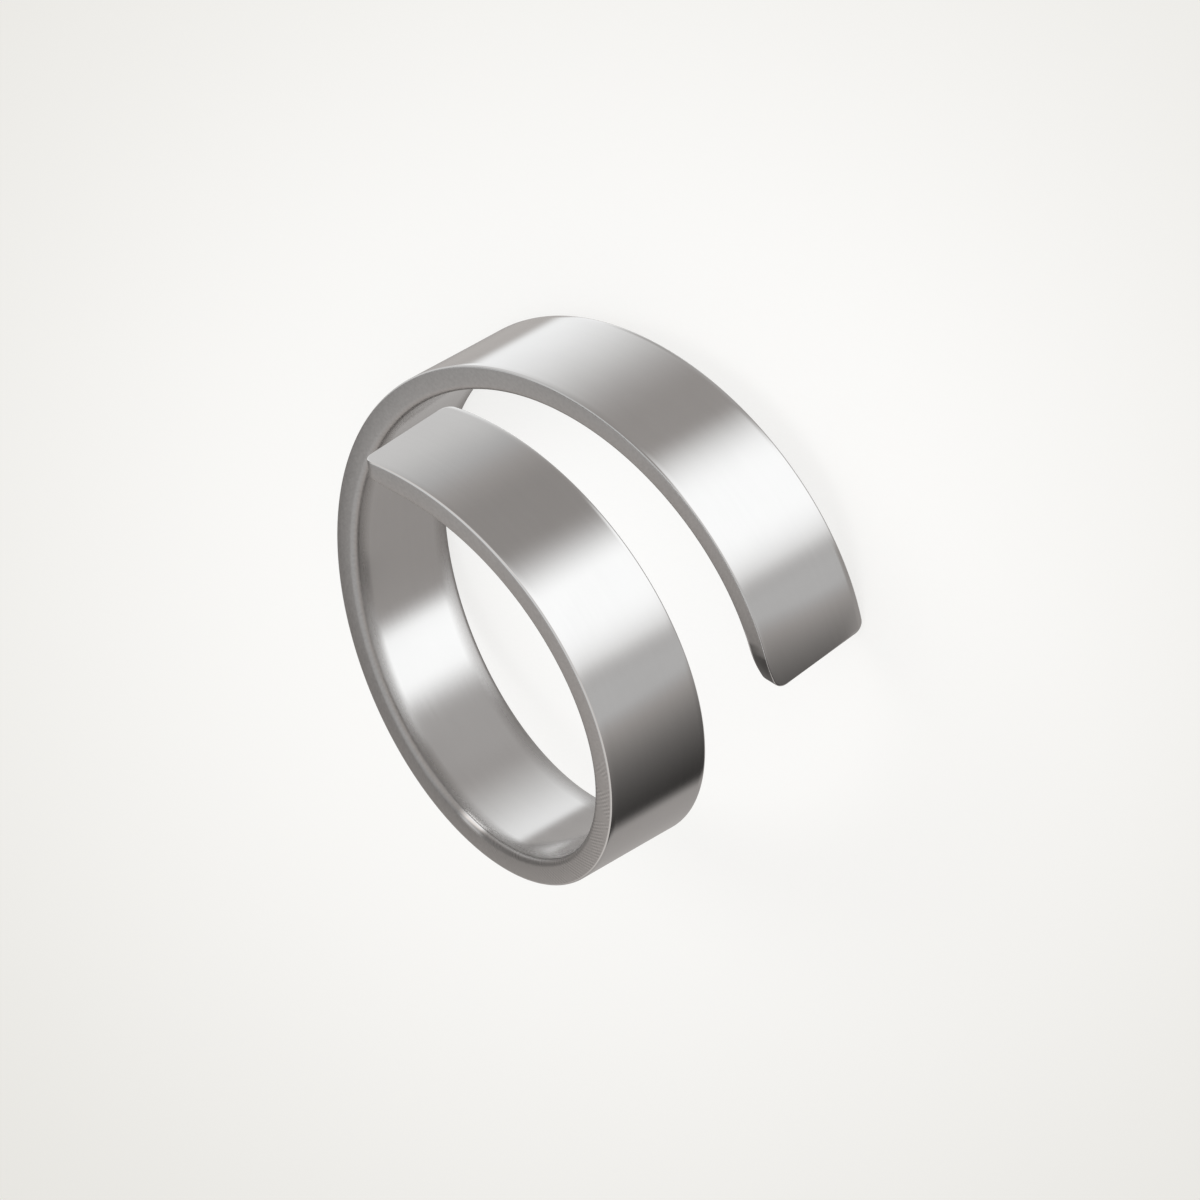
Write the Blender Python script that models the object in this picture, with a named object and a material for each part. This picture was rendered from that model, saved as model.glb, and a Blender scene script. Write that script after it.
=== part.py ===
"""A spiral ring: one flat metal band, rolled up into an open coil of a little over one turn.

The band is made flat, as a smith would cut it, with its end corners rounded and its edges eased.
It is then rolled round the finger size at a slant that grows a little, so that the coil opens
towards its far end, and it is laid down on its far rim, as it lies by itself on a table.
Metres, +Z up. The origin is on the table, under the middle of the ring.
"""

from math import atan, cos, radians, sin, tau

import bmesh
import bpy
from mathutils import Matrix, Vector

# The ring's own sizes
FINGER_HOLE = 0.0175
WALL = 0.00105
RIM_TO_RIM = 0.0048
TURNS = 1.279
NEAR_PITCH = 0.0070
FAR_PITCH = 0.00905

# How the edges and ends are eased
OUTER_EASING = 0.00009
INNER_EASING = 0.00028
CORNER_RADIUS = 0.00045
END_TAPER_LENGTH = 0.0020
END_TAPER_WALL = 0.00026
FAR_END_TAPER_SIDE = 0.00032

# Where the near end points when the ring lies on the table, seen from above
NEAR_END_BEARING = radians(-38.4)

# How finely the curves are cut into flat faces
STATIONS_PER_TURN = 150
CORNER_STEPS = 4
OUTER_EASING_STEPS = 2
INNER_EASING_STEPS = 3

# Steel, polished
STEEL_COLOUR = (0.62, 0.61, 0.60, 1.0)
STEEL_ROUGHNESS = 0.22

OUTER_RADIUS = FINGER_HOLE / 2 + WALL
NEAR_SLANT = atan(NEAR_PITCH / (tau * OUTER_RADIUS))
FAR_SLANT = atan(FAR_PITCH / (tau * OUTER_RADIUS))
MIDDLE_SLANT = (NEAR_SLANT + FAR_SLANT) / 2
BAND_WIDTH = RIM_TO_RIM * cos(MIDDLE_SLANT)
BAND_LENGTH = TURNS * tau * OUTER_RADIUS / cos(MIDDLE_SLANT)

TINY = 1e-7
FAR_RIM_DOWN = -0.9
MILLIMETRES = 1000.0


def clear_scene():
    """Start from an empty scene."""
    for thing in list(bpy.data.objects):
        bpy.data.objects.remove(thing, do_unlink=True)


def edges_where(shape, test):
    """The edges whose two ends both pass the test."""
    return [edge for edge in shape.edges if all(test(vert.co) for vert in edge.verts)]


def upright_edges(shape):
    """The edges that run through the wall, from the inner face to the outer one."""
    return [edge for edge in shape.edges if abs(edge.verts[0].co.z - edge.verts[1].co.z) > WALL / 2]


def ease(shape, edges, width, steps):
    """Round the given edges off over a width."""
    bmesh.ops.bevel(
        shape,
        geom=edges,
        offset=width,
        offset_type="OFFSET",
        segments=steps,
        profile=0.5,
        affect="EDGES",
        clamp_overlap=False,
    )


def flat_band():
    """The band before rolling: x runs along it, y across it to its far rim, z out to its outer face."""
    shape = bmesh.new()
    bmesh.ops.create_cube(shape, size=1.0)
    bmesh.ops.scale(shape, vec=(BAND_LENGTH, BAND_WIDTH, WALL), verts=shape.verts)
    bmesh.ops.translate(shape, vec=(BAND_LENGTH / 2, 0, WALL / 2), verts=shape.verts)
    ease(shape, upright_edges(shape), CORNER_RADIUS, CORNER_STEPS)
    ease(shape, edges_where(shape, lambda co: co.z > WALL - TINY), OUTER_EASING, OUTER_EASING_STEPS)
    ease(shape, edges_where(shape, lambda co: co.z < TINY), INNER_EASING, INNER_EASING_STEPS)
    return shape


def cut_into_stations(shape):
    """Cut straight across the band, so that it can bend at each cut."""
    count = round(TURNS * STATIONS_PER_TURN)
    first, last = CORNER_RADIUS, BAND_LENGTH - CORNER_RADIUS
    for step in range(count + 1):
        place = first + (last - first) * step / count
        bmesh.ops.bisect_plane(
            shape,
            geom=shape.verts[:] + shape.edges[:] + shape.faces[:],
            dist=TINY,
            plane_co=(place, 0, 0),
            plane_no=(1, 0, 0),
        )


def taper_amount(from_end):
    """How far the taper has gone at a distance from an end: 1 at the end, 0 where it starts."""
    return max(0.0, 1 - from_end / END_TAPER_LENGTH) ** 2


def taper_ends(shape):
    """Slim the wall on its inner side before each end, and the near rim before the far end."""
    for vert in shape.verts:
        along, across, through = vert.co
        at_far_end = taper_amount(BAND_LENGTH - along)
        either_end = taper_amount(along) + at_far_end
        vert.co.y += at_far_end * FAR_END_TAPER_SIDE * (0.5 - across / BAND_WIDTH)
        vert.co.z += either_end * END_TAPER_WALL * (1 - through / WALL)


def roll_up(shape):
    """Roll the flat band round the finger hole, clockwise and downwards as seen from above."""
    up = Vector((0, 0, 1))
    for vert in shape.verts:
        along, across, through = vert.co
        slant = NEAR_SLANT + (FAR_SLANT - NEAR_SLANT) * along / BAND_LENGTH
        path_slant = (NEAR_SLANT + slant) / 2
        around = -along * cos(path_slant) / OUTER_RADIUS
        outward = Vector((cos(around), sin(around), 0))
        onward = Vector((sin(around), -cos(around), 0))
        to_far_rim = -onward * sin(slant) - up * cos(slant)
        path = outward * (FINGER_HOLE / 2) - up * along * sin(path_slant)
        vert.co = path + outward * through + to_far_rim * across


def centre_of_mass(shape):
    """The middle of the metal, from the slim pyramids that stand on each face."""
    whole, moment = 0.0, Vector()
    for corners in shape.calc_loop_triangles():
        a, b, c = (loop.vert.co * MILLIMETRES for loop in corners)
        volume = a.cross(b).dot(c) / 6
        whole += volume
        moment += volume * (a + b + c) / 4
    return moment / whole / MILLIMETRES


def stands_over(face, centre):
    """Whether the foot of the perpendicular from the centre falls inside the face."""
    corners = [vert.co * MILLIMETRES for vert in face.verts]
    foot = centre * MILLIMETRES
    pairs = zip(corners, corners[1:] + corners[:1])
    return all((b - a).cross(foot - a).dot(face.normal) > 0 for a, b in pairs)


def resting_face_normal(shape):
    """The outward normal of the hull face that the ring lies on, with its far rim down."""
    centre = centre_of_mass(shape)
    hull = bmesh.new()
    for vert in shape.verts:
        hull.verts.new(vert.co)
    bmesh.ops.convex_hull(hull, input=hull.verts)
    hull.normal_update()
    normals = [
        (face.normal.dot(face.verts[0].co - centre), face.normal.copy())
        for face in hull.faces
        if face.normal.z < FAR_RIM_DOWN and stands_over(face, centre)
    ]
    hull.free()
    return min(normals, key=lambda found: found[0])[1]


def lay_down(shape):
    """Turn the coil until it lies as it would by itself, and put the origin under its middle."""
    lean = resting_face_normal(shape).rotation_difference(Vector((0, 0, -1))).to_matrix()
    turn = Matrix.Rotation(NEAR_END_BEARING, 3, "Z")
    bmesh.ops.rotate(shape, matrix=turn @ lean, verts=shape.verts)
    low = Vector(min(vert.co[axis] for vert in shape.verts) for axis in range(3))
    high = Vector(max(vert.co[axis] for vert in shape.verts) for axis in range(3))
    middle = (low + high) / 2
    bmesh.ops.translate(shape, vec=(-middle.x, -middle.y, -low.z), verts=shape.verts)


def polished_steel():
    """Plain polished steel."""
    material = bpy.data.materials.new("polished_steel")
    material.use_nodes = True
    surface = material.node_tree.nodes["Principled BSDF"]
    surface.inputs["Base Color"].default_value = STEEL_COLOUR
    surface.inputs["Metallic"].default_value = 1.0
    surface.inputs["Roughness"].default_value = STEEL_ROUGHNESS
    return material


def spiral_band():
    """The whole ring, which is one piece of metal."""
    shape = flat_band()
    cut_into_stations(shape)
    taper_ends(shape)
    roll_up(shape)
    lay_down(shape)
    mesh = bpy.data.meshes.new("spiral_band")
    shape.to_mesh(mesh)
    shape.free()
    mesh.materials.append(polished_steel())
    mesh.shade_smooth()
    mesh.set_sharp_from_angle(angle=radians(30))
    ring = bpy.data.objects.new("spiral_band", mesh)
    bpy.context.scene.collection.objects.link(ring)
    return ring


def main():
    """Model the ring."""
    clear_scene()
    spiral_band()


main()
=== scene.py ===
"""A spiral ring of polished steel, lying on a pale floor in soft studio light.

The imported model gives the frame. One finely modelled band stands for its solid: a flat bar with
rounded corners and eased edges, rolled along a spiral path whose pitch grows a little, and laid
down on its far rim. Metres, +Z up. The origin is on the floor, under the middle of the ring.
"""

from math import atan, cos, hypot, radians, sin, tau

import bmesh
import bpy
from bpy.props import FloatProperty, FloatVectorProperty, IntProperty, PointerProperty
from mathutils import Matrix, Vector


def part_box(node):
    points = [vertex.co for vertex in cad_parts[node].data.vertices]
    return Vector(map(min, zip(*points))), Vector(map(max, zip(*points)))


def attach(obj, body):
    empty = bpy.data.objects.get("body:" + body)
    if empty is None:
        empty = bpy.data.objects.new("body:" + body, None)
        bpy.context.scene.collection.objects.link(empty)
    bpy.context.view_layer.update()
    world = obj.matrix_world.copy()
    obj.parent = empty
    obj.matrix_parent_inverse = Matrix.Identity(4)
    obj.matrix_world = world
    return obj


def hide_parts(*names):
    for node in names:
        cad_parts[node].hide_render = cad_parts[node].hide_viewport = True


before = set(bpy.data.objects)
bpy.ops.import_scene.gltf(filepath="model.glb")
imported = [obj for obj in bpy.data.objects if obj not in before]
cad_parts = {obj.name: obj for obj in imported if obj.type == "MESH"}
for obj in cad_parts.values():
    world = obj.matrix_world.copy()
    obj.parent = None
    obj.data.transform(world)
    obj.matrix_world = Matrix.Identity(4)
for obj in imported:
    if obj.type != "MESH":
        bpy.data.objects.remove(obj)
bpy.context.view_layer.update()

SOLID = "spiral_band"

bl_info = {
    "name": "Spiral ring",
    "version": (1, 0, 0),
    "blender": (4, 5, 0),
    "location": "3D View > Sidebar > Spiral ring",
    "description": "A flat band of polished steel rolled into an open coil, on a pale studio floor",
    "category": "Add Mesh",
}

TINY = 1e-7
MICROMETRE = 1e-6
MILLIMETRES = 1000.0
X_AXIS, Y_AXIS, Z_AXIS = (1, 0, 0), (0, 1, 0), (0, 0, 1)

# How finely the band is cut. The lengthwise cuts are made in two passes.
CORNER_STEPS = 8
OUTER_EASING_STEPS = 4
INNER_EASING_STEPS = 8
CUTS_ACROSS = 8
CUTS_PER_PASS = 29
PATH_POINTS = 1200

# How the ring lies: it leans over a little on its far rim
LEAN = radians(14.035)
LEAN_BEARING = radians(108.532)
NEAR_END_BEARING = radians(-38.4)

# Where the satin of an inner edge fades into the polish, in widths of the inner easing
SATIN_FADE = (1.5, 0.8)

# Where the painted highlight along an outer edge fades, on the outer face and down the wall, in
# widths of the outer easing
HIGHLIGHT_FADE = (0.9, 0.4)
HIGHLIGHT_DEPTH = (1.0, 0.4)

# How softly the painted tip shade starts, and how much farther back it starts on the inner side
TIP_SOFTNESS = 0.00012
TIP_SLANT = 0.5

# Stretches of the band, in millimetres from its near end: each one starts, is full, starts to
# fade, and ends
# The first two hold a painted glint, where the inner edge is polished and painted lighter
GLINT_STRETCHES = ((31.5, 32.2, 33.0, 33.9), (76.2, 77.0, 77.6, 78.2))
FILED_STRETCH = (15.5, 17.5, 27.0, 35.0)
LEFT_STRETCH = (30.0, 38.0, 56.0, 62.0)

# The painted glint on the inner edge of the near rim, polished there and painted lighter: how deep
# in the wall and how far across, in millimetres, and the least satin there
GLINT_DEPTH = (-0.84, -0.74)
GLINT_ACROSS = (-1.8, -1.2)
GLINT_SATIN = (0.6, 0.9)

# The patterns in the metal: scale, stretch along, across and through the band, and detail
EVENLY = (1.0, 1.0, 1.0)
HAIRLINES = (1.0, (0.5, 42.0, 42.0), 3.0)
WIDE_STREAKS = (1.0, (0.22, 5.0, 5.0), 2.0)
CLOUDS = (0.45, EVENLY, 2.0)
WAVES = (0.30, (1.0, 0.45, 0.45), 1.0)
GRIT = (9.0, EVENLY, 1.0)
FILED_PATCHES = (1.2, EVENLY, 2.0)
PATTERN_ROUGHNESS = 0.55

# The file marks on the rims: the directions of the two sets, their spacing in millimetres, how
# much the second set counts, where their patches start and are full, the satin they need, and
# how much shows outside the filed stretch
FILE_STROKES = ((0.75, 0.4, 0.85), (0.75, -0.4, -0.85))
FILE_SPACING = 0.18
SECOND_STROKES = 0.3
PATCH_FADE = (0.42, 0.62)
FILED_SATIN = (0.80, 1.0)
FILED_FAINTLY = 0.10

# The painted edge highlight is dimmed away from the near end, and a little more on the left side
HIGHLIGHT_DIMMED_FROM = (6.0, 13.0)
HIGHLIGHT_DIMMED = 0.6
HIGHLIGHT_DIMMED_LEFT = 0.25

# How much each pattern counts in the shade of the metal, painted glint and tip shade among them
CLOUD_SHADE, STREAK_SHADE, PAINTED_GLINT_SHADE = 0.05, 0.03, 0.55
GRIT_SHADE, FILE_SHADE, TIP_SHADE = 0.28, 0.20, 0.58

# How much each pattern counts in the roughness
CLOUD_ROUGH, STREAK_ROUGH, HAIRLINE_ROUGH, GRIT_ROUGH = 0.03, 0.05, 0.06, 0.10

# How deep each pattern is, in micrometres
WAVE_DEPTH, HAIRLINE_DEPTH, GRIT_DEPTH, FILE_DEPTH = 9.0, 0.035, 0.1, 0.6

# Tints of the light
PLAIN = (1.0, 1.0, 1.0)
WARM = (1.0, 0.955, 0.925)
COOL = (0.985, 1.0, 1.01)

# Panels of light round the coil: bearing about its axis, half width, and half width of the part
# that is full, all in degrees. Of the side panel only the part within a quarter turn of a bearing
# is there, with a softer edge.
BACK_PANEL = (90, 26, 0)
SIDE_PANEL = (102, 105, 0)
SIDE_PANEL_NEAR = -8
SIDE_PANEL_SOFTNESS = 5
FRONT_PANEL = (-60, 43, 6)
DIM_SKY = (85, 50, 15)

# Where the panels, the sky and its top start and end, as shares of a direction that is along the
# coil's axis
PANELS_TOP = (0.08, 0.50)
PANELS_FOOT = (-0.97, -0.80)
SKY_START = (0.0, 0.30)
SKY_TOP_START = (0.50, 0.92)

# How bright each part of the light is
ROUND_ABOUT_LIGHT, BACK_LIGHT, SIDE_LIGHT, FRONT_LIGHT = 0.44, 0.58, 1.33, 1.57
SKY_LIGHT, DIM_SKY_LIGHT, SKY_TOP_LIGHT = 0.84, 0.22, 0.88

# The tube of grey cards that stands close round the coil
COIL_MIDDLE = Vector((0.0004031, 0.0015816, 0.0101554))
CARD_RADIUS = 0.017
CARD_BOTTOM = -0.027
CARD_TOP = 0.003

# The cards: bearing about the coil's axis, half width, and half width of the part that is full, in
# degrees, then bottom and top in millimetres from the middle of the coil
DARK_CARD = (-108, 30, 18, -17.6, 2.0)
DARK_CARD_SIDE = (-132, 22, 12, -13.0, 2.0)
UPPER_RUN_CARD = (12, 67, 46, -9.0, 2.0)
LOW_LEFT_CARD = (-130, 50, 30, -26.0, -17.6)
LOW_RIGHT_CARD = (-8, 42, 8, -26.0, -16.9)
LOW_BACK_CARD = (115, 31, 21, -21.0, -10.5)
CARD_SOFTNESS = 0.5

# The tone of the dark card. It grows away from a bearing, up to a limit, and is lighter above and
# below: from one height to another it goes from one share to another.
DARK_TONE = 0.31
DARK_TONE_BEARING = 160
DARK_TONE_GROWTH = -2.84
DARK_TONE_LESS = 0.015
DARK_TONE_LIMIT = 0.66
LIGHTER_ABOVE = (-12.0, -5.0, 1.0, 1.18)
LIGHTER_BELOW = (-16.0, -12.0, 1.12, 1.0)

# The tones of the other cards. The one beside the upper run is graded from one bearing to another.
UPPER_RUN_GRADE = (-22, 20)
UPPER_RUN_TONES = (0.40, 0.86)
LOW_LEFT_TONE, LOW_RIGHT_TONE, LOW_BACK_TONE = 0.43, 0.53, 0.51
CARD_TINT_FADE = (0.42, 0.66)

# The floor's pale middle, a painted pool of light: how it stretches to the sides, and from where
# to where it fades
ROUND_STEPS = 96
FLOOR_STRETCH = (1.0, 0.72, 1.0)
FLOOR_FADE = (-0.004, 0.045)

# The soft light above the floor, and how often light may go from metal to metal
KEY_PLACE = (0.25, 0.05, 0.32)
KEY_SIZE = 0.22
GLOSSY_BOUNCES = 6

# The camera, at the angle of the photograph
CAMERA_PLACE = Vector((0.00101354, -0.29012238, 0.30198399))
CAMERA_RIGHT = Vector((-0.5678633, -0.59291268, -0.57095169))
CAMERA_DOWN = Vector((-0.82310573, 0.40455765, 0.39853489))
SENSOR = 36.0
LENS = 329.975
NEAREST, FARTHEST = 0.01, 10.0


class Wire:
    """One output of a node. Sums written with it add Math nodes to its tree."""

    def __init__(self, socket):
        self.socket = socket
        self.tree = socket.id_data

    @staticmethod
    def node(tree, kind, settings=None, values=None, output=0):
        """Add a node, set it up, fill or link its inputs, and give one of its outputs."""
        made = tree.nodes.new(kind)
        for name, value in (settings or {}).items():
            setattr(made, name, value)
        for key, value in (values or {}).items():
            if isinstance(value, Wire):
                tree.links.new(value.socket, made.inputs[key])
            else:
                made.inputs[key].default_value = value
        return Wire(made.outputs[output])

    def math(self, operation, *others, first=None):
        """A Math node on this and the other values, or on one that goes before it."""
        values = (self, *others) if first is None else (first, self)
        settings = {"operation": operation}
        return Wire.node(self.tree, "ShaderNodeMath", settings, dict(enumerate(values)))

    def __add__(self, other):
        return self.math("ADD", other)

    def __sub__(self, other):
        return self.math("SUBTRACT", other)

    def __rsub__(self, other):
        return self.math("SUBTRACT", first=other)

    def __mul__(self, other):
        return self.math("MULTIPLY", other)

    def __truediv__(self, other):
        return self.math("DIVIDE", other)

    __radd__ = __add__
    __rmul__ = __mul__

    def eased(self, low, high, start=0.0, end=1.0):
        """Goes smoothly from start to end while this goes from low to high."""
        settings = {"interpolation_type": "SMOOTHSTEP"}
        values = {"Value": self, "From Min": low, "From Max": high, "To Min": start, "To Max": end}
        return Wire.node(self.tree, "ShaderNodeMapRange", settings, values)

    def fading(self, low, high):
        """Goes smoothly from 1 to 0 while this goes from low to high."""
        return self.eased(low, high, 1.0, 0.0)

    def between(self, start, full, fade, end):
        """Goes smoothly from 0 to 1 between start and full, and back to 0 between fade and end."""
        return self.eased(start, full) * self.fading(fade, end)

    def along(self, direction):
        """How far this vector reaches along a direction."""
        settings, values = {"operation": "DOT_PRODUCT"}, {0: self, 1: direction}
        return Wire.node(self.tree, "ShaderNodeVectorMath", settings, values, "Value")

    def over(self, under, colour):
        """A colour laid over another one, as much as this mask says."""
        settings, values = {"data_type": "RGBA"}, {0: self, 6: under, 7: colour}
        return Wire.node(self.tree, "ShaderNodeMix", settings, values, 2)


class RingSizes(bpy.types.PropertyGroup):
    """The sizes, polish and colours of the band, its painted highlight and shade among them."""

    finger_hole: FloatProperty(
        name="Finger hole", description="Width of the hole for the finger", default=0.0175,
        min=0.012, max=0.024, unit="LENGTH", subtype="DISTANCE")
    wall: FloatProperty(
        name="Wall", description="Thickness of the metal", default=0.00105,
        min=0.0005, max=0.002, unit="LENGTH", subtype="DISTANCE")
    rim_to_rim: FloatProperty(
        name="Rim to rim", description="Width of the band, measured along the axis of the coil",
        default=0.0048, min=0.002, max=0.01, unit="LENGTH", subtype="DISTANCE")
    turns: FloatProperty(
        name="Turns", description="How many times the band goes round", default=1.279,
        min=1.0, max=3.0)
    near_pitch: FloatProperty(
        name="Near pitch", description="How far the band climbs in one turn at its near end",
        default=0.0070, unit="LENGTH", subtype="DISTANCE")
    far_pitch: FloatProperty(
        name="Far pitch", description="How far the band climbs in one turn at its far end",
        default=0.00905, unit="LENGTH", subtype="DISTANCE")
    corner_radius: FloatProperty(
        name="Corner radius", description="Radius of the four corners of the band",
        default=0.00045, unit="LENGTH", subtype="DISTANCE")
    outer_easing: FloatProperty(
        name="Outer easing", description="Width of the rounding along the outer edges",
        default=0.00009, unit="LENGTH", subtype="DISTANCE")
    inner_easing: FloatProperty(
        name="Inner easing", description="Width of the rounding along the inner edges",
        default=0.00028, unit="LENGTH", subtype="DISTANCE")
    taper_length: FloatProperty(
        name="Taper length", description="How far from an end the band starts to slim",
        default=0.0020, unit="LENGTH", subtype="DISTANCE")
    taper_wall: FloatProperty(
        name="Wall taper", description="How much thinner the wall is at an end",
        default=0.00026, unit="LENGTH", subtype="DISTANCE")
    taper_side: FloatProperty(
        name="Side taper", description="How much narrower the far end is on its near rim",
        default=0.00032, unit="LENGTH", subtype="DISTANCE")
    # Painted shade: the near rim is darkened for this length before the far end
    shaded_tip_length: FloatProperty(
        name="Dark tip", description="How far the near rim is dark before the far end",
        default=0.0017, unit="LENGTH", subtype="DISTANCE")
    steel: FloatVectorProperty(
        name="Steel", description="Colour of the polished faces", subtype="COLOR", size=3,
        default=(0.62, 0.612, 0.605), min=0.0, max=1.0)
    # Painted shade: the satin rims and inner edges take a darker copy of the steel's colour
    shaded_rim_steel: FloatVectorProperty(
        name="Rim steel", description="Colour of the satin rims", subtype="COLOR", size=3,
        default=(0.37, 0.357, 0.348), min=0.0, max=1.0)
    # A painted highlight: the outer edges take a lighter colour than the faces
    edge_highlight_steel: FloatVectorProperty(
        name="Edge steel", description="Colour of the burnished outer edges", subtype="COLOR",
        size=3, default=(0.70, 0.695, 0.69), min=0.0, max=1.0)
    polish: FloatProperty(
        name="Polish", description="Roughness of the polished faces", default=0.13,
        min=0.0, max=1.0, subtype="FACTOR")
    satin: FloatProperty(
        name="Satin", description="Roughness of the rims and inner edges", default=0.38,
        min=0.0, max=1.0, subtype="FACTOR")


class StageLooks(bpy.types.PropertyGroup):
    """The floor and the light."""

    floor_radius: FloatProperty(
        name="Floor radius", description="How far the floor reaches", default=0.8,
        unit="LENGTH", subtype="DISTANCE")
    cove_height: FloatProperty(
        name="Cove height", description="How high the floor curves up at its edge", default=0.3,
        unit="LENGTH", subtype="DISTANCE")
    cove_steps: IntProperty(
        name="Cove steps", description="How many steps the curve at the floor's edge has",
        default=12, min=3)
    # A painted pool of light: the floor is this colour by the ring and fades to the next one
    # outside
    floor_lit_middle: FloatVectorProperty(
        name="Floor middle", description="Colour of the floor by the ring", subtype="COLOR",
        size=3, default=(0.97, 0.968, 0.96), min=0.0, max=1.0)
    floor_outside: FloatVectorProperty(
        name="Floor outside", description="Colour of the floor away from the ring",
        subtype="COLOR", size=3, default=(0.742, 0.732, 0.699), min=0.0, max=1.0)
    floor_glow: FloatProperty(
        name="Floor glow", description="How much the floor shines by itself, as a light table does",
        default=0.81, min=0.0, max=1.0, subtype="FACTOR")
    floor_matte: FloatProperty(
        name="Floor matte", description="How much of the light on it the floor gives back",
        default=0.26, min=0.0, max=1.0, subtype="FACTOR")
    key_power: FloatProperty(
        name="Key power", description="Power of the soft light above the floor", default=0.35,
        unit="POWER")


class BandShape:
    """Sizes that follow from the ring's own sizes."""

    def __init__(self, sizes):
        self.sizes = sizes
        self.outer_radius = sizes.finger_hole / 2 + sizes.wall
        round_once = tau * self.outer_radius
        self.near_slant = atan(sizes.near_pitch / round_once)
        self.far_slant = atan(sizes.far_pitch / round_once)
        middle_slant = (self.near_slant + self.far_slant) / 2
        self.width = sizes.rim_to_rim * cos(middle_slant)
        self.length = sizes.turns * round_once / cos(middle_slant)

    def path_point(self, along):
        """A point of the spiral path that the outer face follows, clockwise and downwards."""
        slant = self.near_slant + (self.far_slant - self.near_slant) * along / self.length
        path_slant = (self.near_slant + slant) / 2
        around = -along * cos(path_slant) / self.outer_radius
        place = Vector((cos(around), sin(around), 0)) * self.outer_radius
        place.z = -along * sin(path_slant)
        return place

    def inset(self, place):
        """How far a point of the flat bar is from its nearest side, round the corners too."""
        radius = self.sizes.corner_radius
        along = abs(place.x - self.length / 2) - self.length / 2 + radius
        across = abs(place.z) - self.width / 2 + radius
        beyond = hypot(max(along, 0.0), max(across, 0.0))
        return radius - beyond - min(max(along, across), 0.0)

    def taper(self, from_end):
        """How far the taper has gone at a distance from an end: 1 at the end, 0 where it starts."""
        return max(0.0, 1 - from_end / self.sizes.taper_length) ** 2


def smooth_step(low, high, value):
    """Goes smoothly from 0 to 1 while the value goes from low to high."""
    share = min(max((value - low) / (high - low), 0.0), 1.0)
    return share * share * (3 - 2 * share)


def lying_down():
    """The turn that lays the coil on its far rim, with its near end towards its bearing."""
    tip_about = Vector((cos(LEAN_BEARING + tau / 4), sin(LEAN_BEARING + tau / 4), 0))
    return Matrix.Rotation(NEAR_END_BEARING, 3, "Z") @ Matrix.Rotation(LEAN, 3, tip_about)


def axis_of(coil):
    """The direction of the coil's axis, towards its near rim."""
    return coil @ Vector(Z_AXIS)


def outwards(coil, bearing):
    """The direction straight out from the coil's axis at a bearing, in degrees."""
    return coil @ Vector((cos(radians(bearing)), sin(radians(bearing)), 0))


def select_only(thing):
    """Make one object the active one and the only one that is selected."""
    bpy.ops.object.select_all(action="DESELECT")
    thing.select_set(True)
    bpy.context.view_layer.objects.active = thing


def select_edges(thing, test):
    """In edit mode, select just the edges whose two ends pass the test together."""
    bpy.ops.mesh.select_all(action="DESELECT")
    shape = bmesh.from_edit_mesh(thing.data)
    for edge in shape.edges:
        if test(edge.verts[0].co, edge.verts[1].co):
            edge.select_set(True)
    bmesh.update_edit_mesh(thing.data)


def ease(thing, width, steps, test):
    """Round off the edges that pass the test."""
    select_edges(thing, test)
    bpy.ops.mesh.bevel(
        offset_type="OFFSET", offset=width, segments=steps, profile=0.5,
        affect="EDGES", clamp_overlap=False)


def cut(place, facing):
    """Cut right through the mesh at a plane."""
    bpy.ops.mesh.select_all(action="SELECT")
    bpy.ops.mesh.bisect(plane_co=place, plane_no=facing, threshold=TINY)


def apply_modifiers(thing):
    """Apply each modifier in turn."""
    select_only(thing)
    for name in [modifier.name for modifier in thing.modifiers]:
        bpy.ops.object.modifier_apply(modifier=name)


def apply_place(thing, place):
    """Put an object at a place and move that place into its mesh."""
    thing.matrix_world = place
    select_only(thing)
    bpy.ops.object.transform_apply(location=True, rotation=True, scale=True)


def flat_bar(band):
    """The band before rolling: x runs along it, y out to its outer face at 0, z to its near rim."""
    sizes = band.sizes
    bpy.ops.object.select_all(action="DESELECT")
    bpy.ops.mesh.primitive_cube_add(
        size=1.0, location=(band.length / 2, -sizes.wall / 2, 0),
        scale=(band.length, sizes.wall, band.width))
    bar = bpy.context.active_object
    bpy.ops.object.transform_apply(location=True, rotation=True, scale=True)
    bpy.ops.object.mode_set(mode="EDIT")
    bpy.ops.mesh.select_mode(type="EDGE")
    inside = TINY - sizes.wall
    ease(bar, sizes.corner_radius, CORNER_STEPS, lambda a, b: abs(a.y - b.y) > sizes.wall / 2)
    ease(bar, sizes.outer_easing, OUTER_EASING_STEPS, lambda a, b: min(a.y, b.y) > -TINY)
    ease(bar, sizes.inner_easing, INNER_EASING_STEPS, lambda a, b: max(a.y, b.y) < inside)
    for step in range(1, CORNER_STEPS + 1):
        for place in (0.0, band.length):
            inwards = sizes.corner_radius * step / CORNER_STEPS
            cut((abs(place - inwards), 0, 0), X_AXIS)
    half = band.width / 2 - sizes.inner_easing
    for step in range(CUTS_ACROSS + 1):
        cut((0, 0, half * (2 * step / CUTS_ACROSS - 1)), Z_AXIS)
    for longest in (band.length / 2, sizes.corner_radius * 2):
        select_edges(bar, lambda a, b: abs(a.x - b.x) > longest)
        bpy.ops.mesh.subdivide(number_cuts=CUTS_PER_PASS, smoothness=0)
    bpy.ops.object.mode_set(mode="OBJECT")
    return bar


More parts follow.
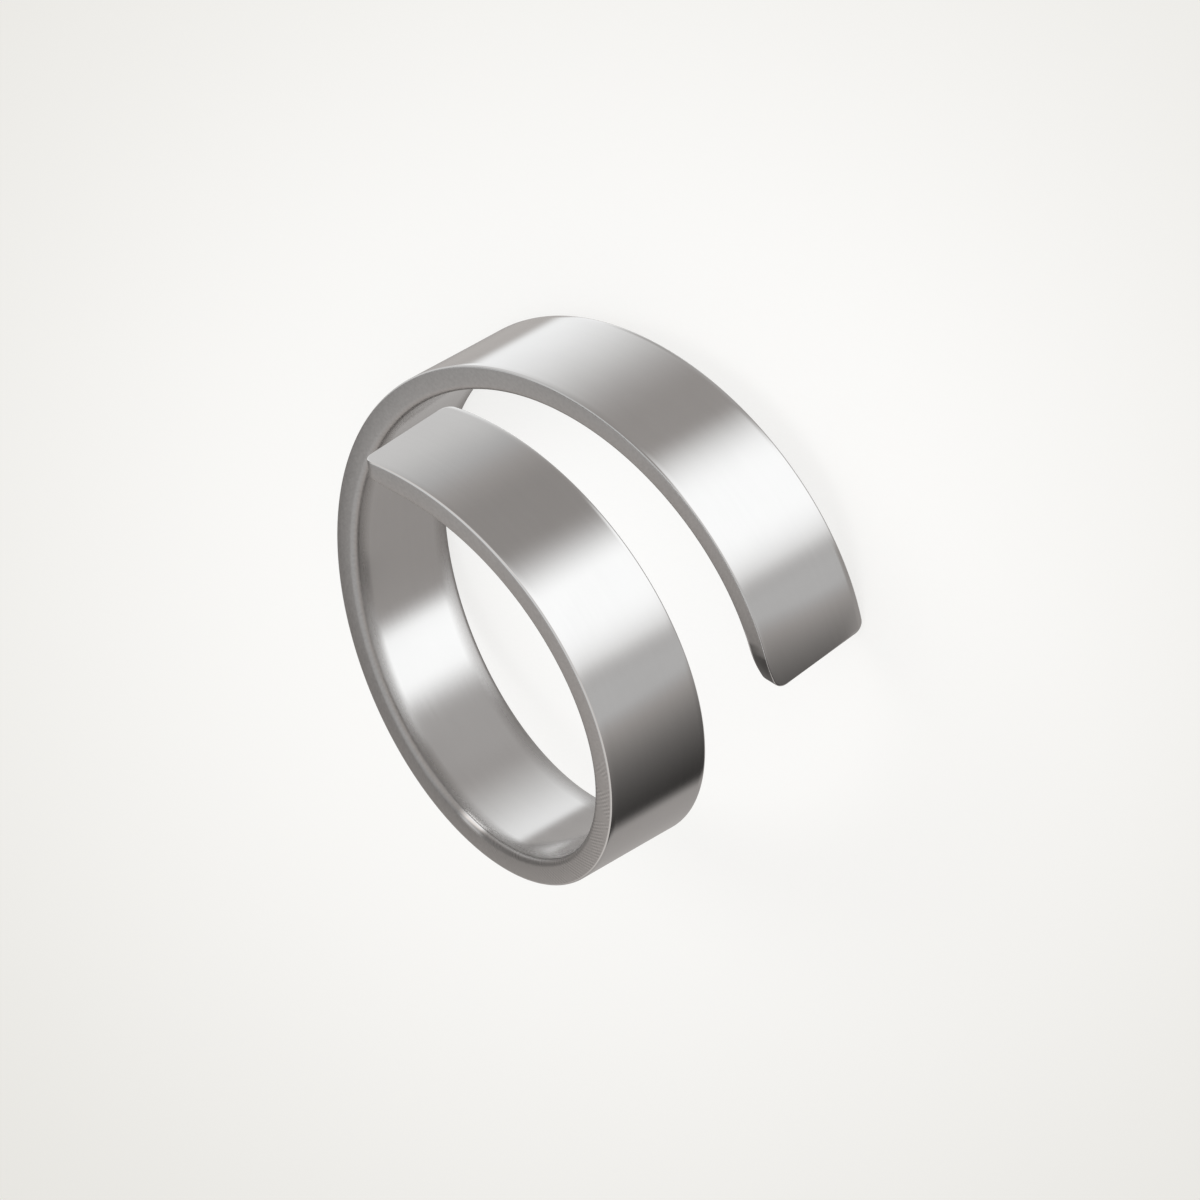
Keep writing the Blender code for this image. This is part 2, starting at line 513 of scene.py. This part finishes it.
def note_places(bar, band):
    """Keep for each point its place on the flat band in millimetres, its satin and its painted
    light.

    A place is how far along, across and out from the wall's outer face the point is. The second
    vector is how satin the point is, how much painted edge highlight and painted tip shade it
    takes.
    """
    sizes = band.sizes
    satin_fade = [share * sizes.inner_easing for share in SATIN_FADE]
    highlight_fade = [share * sizes.outer_easing for share in HIGHLIGHT_FADE]
    highlight_depth = [-share * sizes.outer_easing for share in HIGHLIGHT_DEPTH]
    places = bar.data.attributes.new("place", "FLOAT_VECTOR", "POINT")
    finish_and_painted_light_data = bar.data.attributes.new("finish_and_painted_light", "FLOAT_VECTOR", "POINT")
    for index, point in enumerate(bar.data.vertices):
        place = point.co
        inset = band.inset(place)
        beside_rim = smooth_step(*satin_fade, inset)
        at_edge = smooth_step(*highlight_fade, inset)
        at_outer = smooth_step(*highlight_depth, place.y)
        tip_start = sizes.shaded_tip_length * (1 - TIP_SLANT * place.y / sizes.wall)
        past_start = tip_start - (band.length - place.x)
        in_tip_shade = smooth_step(-TIP_SOFTNESS, TIP_SOFTNESS, past_start) if place.z > 0 else 0.0
        places.data[index].vector = Vector((place.x, -place.z, place.y)) * MILLIMETRES
        finish_and_painted_light_data.data[index].vector = (beside_rim * (1 - at_outer), at_edge * at_outer, in_tip_shade)


def slim_ends(bar, band):
    """Slim the wall on its inner side before each end, and the near rim before the far end."""
    sizes = band.sizes
    wall = bar.vertex_groups.new(name="wall")
    side = bar.vertex_groups.new(name="side")
    for index, point in enumerate(bar.data.vertices):
        place = point.co
        at_far_end = band.taper(band.length - place.x)
        either_end = band.taper(place.x) + at_far_end
        if either_end:
            wall.add([index], either_end * -place.y / sizes.wall, "REPLACE")
            side.add([index], at_far_end * (0.5 + place.z / band.width), "REPLACE")
    for group, axis, depth in ((wall, "Y", sizes.taper_wall), (side, "Z", -sizes.taper_side)):
        slim = bar.modifiers.new(group.name, "DISPLACE")
        slim.vertex_group, slim.direction = group.name, axis
        slim.strength, slim.mid_level = depth, 0.0
    apply_modifiers(bar)
    bar.vertex_groups.clear()


def roll_up(bar, band):
    """Roll the bar along the spiral path."""
    path = bpy.data.curves.new("rolling_path", "CURVE")
    path.dimensions, path.twist_mode = "3D", "Z_UP"
    line = path.splines.new("POLY")
    line.points.add(PATH_POINTS - 1)
    for index, point in enumerate(line.points):
        point.co = (*band.path_point(band.length * index / (PATH_POINTS - 1)), 1)
    guide = bpy.data.objects.new("rolling_path", path)
    bpy.context.scene.collection.objects.link(guide)
    roll = bar.modifiers.new("roll", "CURVE")
    roll.object, roll.deform_axis = guide, "POS_X"
    apply_modifiers(bar)
    bpy.data.objects.remove(guide)
    bpy.data.curves.remove(path)


def lay_in_place(ring):
    """Lay the ring down, and set it where the solid is: over its middle and on its lowest point."""
    apply_place(ring, lying_down().to_4x4())
    points = [point.co for point in ring.data.vertices]
    lowest = Vector(min(point[axis] for point in points) for axis in range(3))
    highest = Vector(max(point[axis] for point in points) for axis in range(3))
    low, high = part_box(SOLID)
    move = (low + high - lowest - highest) / 2
    move.z = low.z - lowest.z
    apply_place(ring, Matrix.Translation(move))


def new_finish(name):
    """A new material, its tree and its surface node."""
    material = bpy.data.materials.new(name)
    material.use_nodes = True
    return material, material.node_tree, material.node_tree.nodes["Principled BSDF"]


def scaled(tree, colour, amount):
    """A colour made brighter or darker by an amount."""
    settings, values = {"operation": "SCALE"}, {0: colour, "Scale": amount}
    return Wire.node(tree, "ShaderNodeVectorMath", settings, values)


def steel_finish(sizes):
    """Steel: polished faces, faint hairlines, satin filed rims, painted edge highlights and shade.
    """
    material, tree, surface = new_finish("polished_steel")
    place, finish_and_painted_light = (
        Wire.node(tree, "ShaderNodeAttribute", {"attribute_name": name}, output="Vector")
        for name in ("place", "finish_and_painted_light"))
    satin, highlighted, painted_tip_shade = (finish_and_painted_light.along(axis) for axis in (X_AXIS, Y_AXIS, Z_AXIS))
    along, across, through = (place.along(axis) for axis in (X_AXIS, Y_AXIS, Z_AXIS))

    def noise(scale, stretch, detail):
        stretched = Wire.node(
            tree, "ShaderNodeVectorMath", {"operation": "MULTIPLY"}, {0: place, 1: stretch})
        values = {"Vector": stretched, "Scale": scale, "Detail": detail}
        values["Roughness"] = PATTERN_ROUGHNESS
        return Wire.node(tree, "ShaderNodeTexNoise", {}, values)

    def strokes(direction):
        return (place.along(direction) * (tau / FILE_SPACING)).math("SINE")

    # A painted glint: two short stretches of the near rim's inner edge are made less satin and
    # lighter
    first, second = (along.between(*stretch) for stretch in GLINT_STRETCHES)
    inner_edge = through.fading(*GLINT_DEPTH) * across.fading(*GLINT_ACROSS)
    polish_and_painted_glint = (first + second) * inner_edge * satin.eased(*GLINT_SATIN)
    satin = satin * (1 - polish_and_painted_glint)
    polished = 1 - satin

    hairlines, wide_streaks, clouds, waves, grit = (
        noise(*pattern) - 0.5 for pattern in (HAIRLINES, WIDE_STREAKS, CLOUDS, WAVES, GRIT))
    first, second = (strokes(direction) for direction in FILE_STROKES)
    crossed = first + second * SECOND_STROKES
    well_filed = FILED_FAINTLY + along.between(*FILED_STRETCH) * (1 - FILED_FAINTLY)
    patches = noise(*FILED_PATCHES).eased(*PATCH_FADE)
    file_marks = crossed * (patches * well_filed * satin.eased(*FILED_SATIN))

    # The faces' tone: random clouds and streaks, and the painted glint
    face_shade = 1 + clouds * CLOUD_SHADE + wide_streaks * STREAK_SHADE + polish_and_painted_glint * PAINTED_GLINT_SHADE
    # The rims' tone: random grit and file marks, and painted shade that darkens the far tip
    rim_shade = (1 + grit * GRIT_SHADE + file_marks * FILE_SHADE) * (1 - painted_tip_shade * TIP_SHADE)
    # The faces take the steel's colour; the satin places a darker copy of it, as painted shade
    face = scaled(tree, tuple(sizes.steel), face_shade)
    rim = scaled(tree, tuple(sizes.shaded_rim_steel), rim_shade)
    # A painted highlight along the outer edges, dimmed away from the near end and more on the left
    dimmed = along.between(*LEFT_STRETCH) * HIGHLIGHT_DIMMED_LEFT + HIGHLIGHT_DIMMED
    painted_edge_highlight = highlighted * (1 - along.eased(*HIGHLIGHT_DIMMED_FROM) * dimmed)
    colour = painted_edge_highlight.over(satin.over(face, rim), (*sizes.edge_highlight_steel, 1.0))
    tree.links.new(colour.socket, surface.inputs["Base Color"])

    face_rough = sizes.polish + wide_streaks * STREAK_ROUGH + hairlines * HAIRLINE_ROUGH
    face_rough = face_rough + clouds * CLOUD_ROUGH
    rough = face_rough * polished + satin * (sizes.satin + grit * GRIT_ROUGH)
    tree.links.new(rough.socket, surface.inputs["Roughness"])

    face_height = waves * WAVE_DEPTH + hairlines * HAIRLINE_DEPTH
    rim_height = grit * GRIT_DEPTH + file_marks * FILE_DEPTH
    height = face_height * polished + rim_height * satin
    values = {"Strength": 1.0, "Distance": MICROMETRE, "Height": height}
    bump = Wire.node(tree, "ShaderNodeBump", {}, values)
    tree.links.new(bump.socket, surface.inputs["Normal"])
    surface.inputs["Metallic"].default_value = 1.0
    return material


def studio_light(coil):
    """Soft light from all round: a few wide panels that stand round the axis of the coil."""
    world = bpy.data.worlds.new("soft_studio")
    bpy.context.scene.world = world
    world.use_nodes = True
    world.cycles.sampling_method = "NONE"
    tree = world.node_tree
    towards = Wire.node(tree, "ShaderNodeTexCoord", output="Generated")
    height = towards.along(axis_of(coil))
    level = (1 - height * height).math("MAXIMUM", TINY).math("SQRT")

    def facing(bearing):
        return towards.along(outwards(coil, bearing)) / level

    def panel(bearing, half_width, full_width):
        return facing(bearing).eased(cos(radians(half_width)), cos(radians(full_width)))

    def light(brightness, tint):
        return (*(brightness * part for part in tint), 1.0)

    side_end = sin(radians(SIDE_PANEL_SOFTNESS))
    side = panel(*SIDE_PANEL) * facing(SIDE_PANEL_NEAR).eased(-side_end, side_end)
    standing = height.fading(*PANELS_TOP) * height.eased(*PANELS_FOOT)
    round_about, back = light(ROUND_ABOUT_LIGHT, WARM), light(BACK_LIGHT, WARM)
    colour = (standing * panel(*BACK_PANEL)).over(round_about, back)
    colour = (standing * side).over(colour, light(SIDE_LIGHT, COOL))
    colour = (standing * panel(*FRONT_PANEL)).over(colour, light(FRONT_LIGHT, COOL))
    sky = panel(*DIM_SKY).over(light(SKY_LIGHT, WARM), light(DIM_SKY_LIGHT, WARM))
    colour = height.eased(*SKY_START).over(colour, sky)
    colour = height.eased(*SKY_TOP_START).over(colour, light(SKY_TOP_LIGHT, COOL))
    tree.links.new(colour.socket, tree.nodes["Background"].inputs["Color"])


def grey_cards(coil):
    """Cards that stand close round the ring, so that some of its faces show less of the light."""
    bpy.ops.object.select_all(action="DESELECT")
    bpy.ops.mesh.primitive_circle_add(
        vertices=ROUND_STEPS, radius=CARD_RADIUS, fill_type="NOTHING")
    cards = bpy.context.active_object
    cards.name = cards.data.name = "grey_cards"
    rise = (0, 0, CARD_TOP - CARD_BOTTOM)
    bpy.ops.object.mode_set(mode="EDIT")
    bpy.ops.mesh.select_all(action="SELECT")
    bpy.ops.transform.translate(value=(0, 0, CARD_BOTTOM))
    bpy.ops.mesh.extrude_region_move(TRANSFORM_OT_translate={"value": rise})
    bpy.ops.object.mode_set(mode="OBJECT")
    apply_place(cards, Matrix.Translation(COIL_MIDDLE) @ coil.to_4x4())
    cards.data.materials.append(card_finish(coil))
    cards.visible_camera = cards.visible_diffuse = cards.visible_shadow = False
    cards.visible_transmission = cards.visible_volume_scatter = False


def card_finish(coil):
    """Grey with soft edges: a dark card in two parts, one by the upper run, and three low ones."""
    material, tree, surface = new_finish("grey_cards")
    material.cycles.emission_sampling = "NONE"
    spot = Wire.node(tree, "ShaderNodeTexCoord", output="Object")
    values = {0: spot, 1: tuple(COIL_MIDDLE)}
    spot = Wire.node(tree, "ShaderNodeVectorMath", {"operation": "SUBTRACT"}, values)
    height = spot.along(axis_of(coil)) * MILLIMETRES

    def facing(bearing):
        return spot.along(outwards(coil, bearing)) / CARD_RADIUS

    def card(bearing, half_width, full_width, bottom, top):
        across = facing(bearing).eased(cos(radians(half_width)), cos(radians(full_width)))
        softly = (-CARD_SOFTNESS, CARD_SOFTNESS)
        ends = (end + soft for end in (bottom, top) for soft in softly)
        return across * height.between(*ends)

    lighter = height.eased(*LIGHTER_ABOVE) * height.eased(*LIGHTER_BELOW)
    dark_tone = (facing(DARK_TONE_BEARING) * DARK_TONE_GROWTH).math("EXPONENT") * DARK_TONE
    dark_tone = (dark_tone * lighter - DARK_TONE_LESS).math("MINIMUM", DARK_TONE_LIMIT)
    grade = (sin(radians(bearing)) for bearing in UPPER_RUN_GRADE)
    upper_run_tone = facing(90).eased(*grade, *UPPER_RUN_TONES)
    cards = (
        (card(*DARK_CARD), dark_tone),
        (card(*DARK_CARD_SIDE), dark_tone),
        (card(*UPPER_RUN_CARD), upper_run_tone),
        (card(*LOW_LEFT_CARD), LOW_LEFT_TONE),
        (card(*LOW_RIGHT_CARD), LOW_RIGHT_TONE),
        (card(*LOW_BACK_CARD), LOW_BACK_TONE),
    )
    cover, tone = 0.0, 0.0
    for mask, level in cards:
        cover, tone = mask + cover, mask * level + tone
    cover = cover.math("MAXIMUM", TINY)
    tone = tone / cover
    warm, plain = (scaled(tree, tint, tone) for tint in (WARM, PLAIN))
    colour = tone.eased(*CARD_TINT_FADE).over(warm, plain)
    tree.links.new(colour.socket, surface.inputs["Emission Color"])
    tree.links.new(cover.math("MINIMUM", 1.0).socket, surface.inputs["Alpha"])
    surface.inputs["Emission Strength"].default_value = 1.0
    surface.inputs["Base Color"].default_value = (0.0, 0.0, 0.0, 1.0)
    surface.inputs["Specular IOR Level"].default_value = 0.0
    surface.inputs["Roughness"].default_value = 1.0
    return material


def pale_floor(looks):
    """A pale round floor that curves up at its edge, brightest by the ring: a painted pool of
    light.
    """
    bpy.ops.object.select_all(action="DESELECT")
    bpy.ops.mesh.primitive_circle_add(
        vertices=ROUND_STEPS, radius=looks.floor_radius, fill_type="NGON")
    floor = bpy.context.active_object
    floor.name = floor.data.name = "floor"
    bpy.ops.object.mode_set(mode="EDIT")
    bpy.ops.mesh.select_mode(type="EDGE")
    bpy.ops.mesh.select_all(action="SELECT")
    bpy.ops.mesh.region_to_loop()
    radius, height = looks.floor_radius, 0.0
    for step in range(looks.cove_steps):
        turn = tau / 4 * (step + 1) / looks.cove_steps
        new_radius = looks.floor_radius + looks.cove_height * sin(turn)
        new_height = looks.cove_height * (1 - cos(turn))
        rise, wider = (0, 0, new_height - height), new_radius / radius
        bpy.ops.mesh.extrude_region_move(TRANSFORM_OT_translate={"value": rise})
        bpy.ops.transform.resize(value=(wider, wider, 1), center_override=(0, 0, new_height))
        radius, height = new_radius, new_height
    bpy.ops.object.mode_set(mode="OBJECT")
    bpy.ops.object.shade_smooth()
    floor.data.materials.append(floor_finish(looks))
    floor.visible_glossy = False


def floor_finish(looks):
    """Matt white, as over a light table: it shines a little by itself, so shadows stay soft."""
    material, tree, surface = new_finish("pale_floor")
    spot = Wire.node(tree, "ShaderNodeTexCoord", output="Object")
    spread = Wire.node(tree, "ShaderNodeMapping", {}, {"Vector": spot, "Scale": FLOOR_STRETCH})
    away = Wire.node(tree, "ShaderNodeVectorMath", {"operation": "LENGTH"}, {0: spread}, "Value")
    middle, outside = (*looks.floor_lit_middle, 1.0), (*looks.floor_outside, 1.0)
    # A painted pool of light: the floor's colour and glow are brightest by the ring
    colour = away.eased(*FLOOR_FADE).over(middle, outside)
    matte = scaled(tree, colour, looks.floor_matte)
    tree.links.new(matte.socket, surface.inputs["Base Color"])
    tree.links.new(colour.socket, surface.inputs["Emission Color"])
    surface.inputs["Emission Strength"].default_value = looks.floor_glow
    surface.inputs["Roughness"].default_value = 1.0
    surface.inputs["Specular IOR Level"].default_value = 0.0
    return material


def key_light(looks):
    """One soft light above the floor, which the metal doesn't show."""
    bpy.ops.object.light_add(type="AREA", location=KEY_PLACE)
    key = bpy.context.active_object
    key.name = "key_light"
    key.rotation_euler = key.location.to_track_quat("Z", "Y").to_euler()
    key.data.shape, key.data.size, key.data.energy = "DISK", KEY_SIZE, looks.key_power
    key.visible_glossy = False


def camera_at_photo():
    """The camera, at the angle of the photograph."""
    bpy.ops.object.camera_add()
    camera = bpy.context.active_object
    up, back = -CAMERA_DOWN, CAMERA_DOWN.cross(CAMERA_RIGHT)
    camera.matrix_world = Matrix.LocRotScale(
        CAMERA_PLACE, Matrix((CAMERA_RIGHT, up, back)).transposed(), None)
    camera.data.lens, camera.data.sensor_width = LENS, SENSOR
    camera.data.clip_start, camera.data.clip_end = NEAREST, FARTHEST
    bpy.context.scene.camera = camera


class SPIRALRING_OT_polished_band(bpy.types.Operator):
    """Model the band of polished steel"""

    bl_idname = "spiral_ring.polished_band"
    bl_label = "Polished band"
    bl_options = {"REGISTER", "UNDO"}

    def execute(self, context):
        band = BandShape(context.scene.ring_sizes)
        ring = flat_bar(band)
        ring.name = ring.data.name = "polished_band"
        note_places(ring, band)
        slim_ends(ring, band)
        roll_up(ring, band)
        lay_in_place(ring)
        bpy.ops.object.shade_smooth()
        even = ring.modifiers.new("even", "WEIGHTED_NORMAL")
        even.mode, even.weight = "FACE_AREA", 50
        apply_modifiers(ring)
        ring.data.materials.clear()
        ring.data.materials.append(steel_finish(band.sizes))
        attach(ring, "root")
        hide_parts(SOLID)
        return {"FINISHED"}


class SPIRALRING_OT_studio(bpy.types.Operator):
    """Set up the floor, the light and the camera"""

    bl_idname = "spiral_ring.studio"
    bl_label = "Studio"
    bl_options = {"REGISTER", "UNDO"}

    def execute(self, context):
        looks = context.scene.stage_looks
        pale_floor(looks)
        key_light(looks)
        studio_light(lying_down())
        grey_cards(lying_down())
        camera_at_photo()
        context.scene.view_settings.view_transform = "Standard"
        context.scene.cycles.glossy_bounces = GLOSSY_BOUNCES
        return {"FINISHED"}


class SPIRALRING_PT_panel(bpy.types.Panel):
    """The ring's sizes and the buttons that make it"""

    bl_idname = "SPIRALRING_PT_panel"
    bl_label = "Spiral ring"
    bl_space_type = "VIEW_3D"
    bl_region_type = "UI"
    bl_category = "Spiral ring"

    def draw(self, context):
        for group in (context.scene.ring_sizes, context.scene.stage_looks):
            box = self.layout.box()
            for name in group.bl_rna.properties.keys():
                if name not in ("rna_type", "name"):
                    box.prop(group, name)
        self.layout.operator(SPIRALRING_OT_polished_band.bl_idname)
        self.layout.operator(SPIRALRING_OT_studio.bl_idname)


CLASSES = (
    RingSizes,
    StageLooks,
    SPIRALRING_OT_polished_band,
    SPIRALRING_OT_studio,
    SPIRALRING_PT_panel,
)


def register():
    for kind in CLASSES:
        bpy.utils.register_class(kind)
    bpy.types.Scene.ring_sizes = PointerProperty(type=RingSizes)
    bpy.types.Scene.stage_looks = PointerProperty(type=StageLooks)


def unregister():
    del bpy.types.Scene.stage_looks
    del bpy.types.Scene.ring_sizes
    for kind in reversed(CLASSES):
        bpy.utils.unregister_class(kind)


def main():
    """Register the tools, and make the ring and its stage."""
    register()
    bpy.ops.spiral_ring.polished_band()
    bpy.ops.spiral_ring.studio()


if __name__ == "__main__":
    main()
